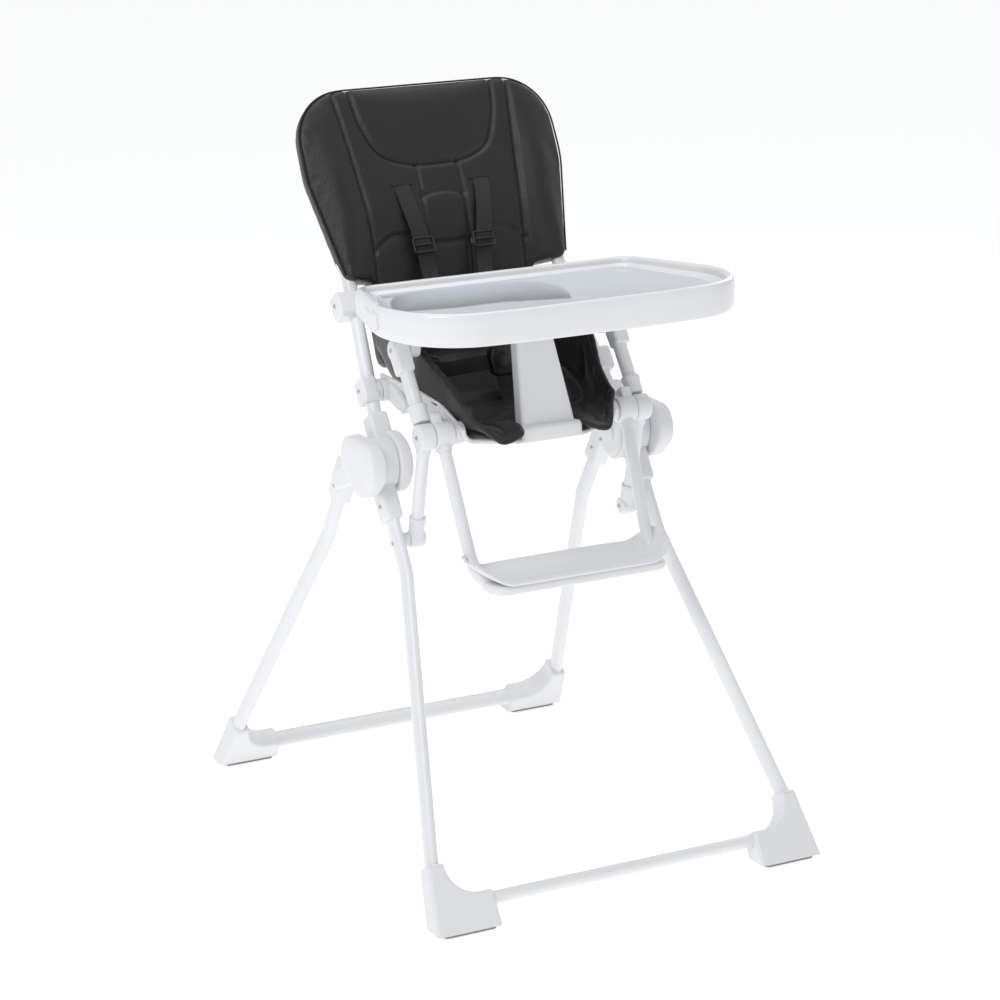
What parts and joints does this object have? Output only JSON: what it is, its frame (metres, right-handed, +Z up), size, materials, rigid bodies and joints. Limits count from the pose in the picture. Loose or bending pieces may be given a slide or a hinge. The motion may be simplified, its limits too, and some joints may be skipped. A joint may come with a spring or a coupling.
{
  "type": "baby high chair",
  "caption": "Folding baby high chair: crossed white tube legs, padded black seat and back with straps, crotch post, swing-open tray and a footrest.",
  "frame": {"origin": "on the floor, in the middle of the chair's footprint", "axes": "+Z up, -Y the way the child faces, +X the child's left"},
  "size_m": [0.597, 0.8251, 1.0459],
  "materials": {
    "tube_white": "white powder coat, satin",
    "plastic_white": "white moulded plastic, fine satin",
    "insert_blue": "pale blue, glossy",
    "vinyl_black": "black coated cloth, satin",
    "webbing_black": "black woven webbing",
    "buckle_black": "black moulded plastic",
    "rubber_grey": "grey rubber",
    "steel": "bright steel"
  },
  "bodies": {
    "back_frame": {"back_tube": "tube_white", "back_pad": "vinyl_black", "back_hub_left": "plastic_white", "back_hub_right": "plastic_white", "hub_axle_left": "steel", "hub_axle_right": "steel", "seat_block_left": "plastic_white", "seat_block_right": "plastic_white", "arm_block_left": "plastic_white", "arm_block_right": "plastic_white", "shoulder_strap_left": "webbing_black", "shoulder_strap_right": "webbing_black", "strap_adjuster_left": "buckle_black", "strap_adjuster_right": "buckle_black"},
    "front_legs": {"front_leg_frame": "tube_white", "front_leg_hub_left": "plastic_white", "front_leg_hub_right": "plastic_white", "front_foot_cap_left": "plastic_white", "front_foot_cap_right": "plastic_white", "front_foot_pad_left": "rubber_grey", "front_foot_pad_right": "rubber_grey", "link_boss_left": "plastic_white", "link_boss_right": "plastic_white"},
    "rear_legs": {"rear_leg_frame": "tube_white", "rear_leg_hub_left": "plastic_white", "rear_leg_hub_right": "plastic_white", "rear_foot_cap_left": "plastic_white", "rear_foot_cap_right": "plastic_white", "rear_foot_pad_left": "rubber_grey", "rear_foot_pad_right": "rubber_grey"},
    "seat": {"seat_shell": "plastic_white", "seat_pad": "vinyl_black", "crotch_post": "plastic_white", "crotch_strap": "webbing_black", "buckle": "buckle_black"},
    "buckle_button": {"buckle_button": "buckle_black"},
    "arms": {"armrest_left": "plastic_white", "armrest_right": "plastic_white"},
    "footrest_frame": {"footrest_tube": "tube_white", "footrest_plate": "plastic_white", "knuckle_left": "plastic_white", "knuckle_right": "plastic_white", "post_left": "tube_white", "post_right": "tube_white", "post_cap_left": "plastic_white", "post_cap_right": "plastic_white"},
    "links": {"link_tube_left": "tube_white", "link_tube_right": "tube_white", "link_eye_left": "plastic_white", "link_eye_right": "plastic_white", "link_elbow_left": "plastic_white", "link_elbow_right": "plastic_white"},
    "tray_carriage": {"tray_hinge_pin": "steel", "tray_slider_left": "plastic_white", "tray_slider_right": "plastic_white"},
    "tray": {"tray_body": "plastic_white", "tray_insert": "insert_blue"},
    "tray_latch": {"tray_latch": "plastic_white"},
    "hub_button_left": {"hub_button_left": "plastic_white"},
    "hub_button_right": {"hub_button_right": "plastic_white"}
  },
  "joints": [
    {"name": "front_leg_fold", "type": "hinge", "parent": "back_frame", "child": "front_legs", "pos_m": [0, -0.0587, 0.5645], "axis": [1, 0, 0], "range_deg": [0, 28]},
    {"name": "rear_leg_fold", "type": "hinge", "parent": "back_frame", "child": "rear_legs", "pos_m": [0, -0.0587, 0.5645], "axis": [1, 0, 0], "range_deg": [-29.4, 0]},
    {"name": "seat_drop", "type": "hinge", "parent": "back_frame", "child": "seat", "pos_m": [0, 0.00169, 0.65404], "axis": [1, 0, 0], "range_deg": [0, 11.2]},
    {"name": "arm_drop", "type": "hinge", "parent": "back_frame", "child": "arms", "pos_m": [0, 0.07523, 0.76305], "axis": [1, 0, 0], "range_deg": [0, 11.2]},
    {"name": "footrest_fold", "type": "hinge", "parent": "seat", "child": "footrest_frame", "pos_m": [0, -0.1452, 0.61495], "axis": [1, 0, 0], "range_deg": [-11.2, 0]},
    {"name": "link_swing", "type": "hinge", "parent": "seat", "child": "links", "pos_m": [0, -0.1452, 0.61495], "axis": [1, 0, 0], "range_deg": [0, 5.74]},
    {"name": "tray_slide", "type": "slide", "parent": "arms", "child": "tray_carriage", "axis": [0, -1, 0], "range_m": [0, 0.045]},
    {"name": "tray_swing", "type": "hinge", "parent": "tray_carriage", "child": "tray", "pos_m": [0.1482, -0.092, 0.794], "axis": [0, 0, 1], "range_deg": [0, 100]},
    {"name": "tray_latch_pull", "type": "hinge", "parent": "tray", "child": "tray_latch", "pos_m": [-0.26, -0.1825, 0.806], "axis": [0, 1, 0], "range_deg": [0, 3.5], "stiffness_Nm_per_rad": 0.2},
    {"name": "hub_button_press_left", "type": "slide", "parent": "back_frame", "child": "hub_button_left", "axis": [1, 0, 0], "range_m": [0, 0.004], "stiffness_N_per_m": 900},
    {"name": "hub_button_press_right", "type": "slide", "parent": "back_frame", "child": "hub_button_right", "axis": [-1, 0, 0], "range_m": [0, 0.004], "stiffness_N_per_m": 900},
    {"name": "buckle_button_press", "type": "slide", "parent": "seat", "child": "buckle_button", "axis": [0, 1, 0], "range_m": [0, 0.002], "stiffness_N_per_m": 500}
  ],
  "couplings": [
    {"joint": "rear_leg_fold", "follows": "front_leg_fold", "ratio": -1.05},
    {"joint": "seat_drop", "follows": "front_leg_fold", "ratio": 0.4},
    {"joint": "arm_drop", "follows": "front_leg_fold", "ratio": 0.4},
    {"joint": "footrest_fold", "follows": "front_leg_fold", "ratio": -0.4},
    {"joint": "link_swing", "follows": "front_leg_fold", "ratio": 0.205}
  ]
}
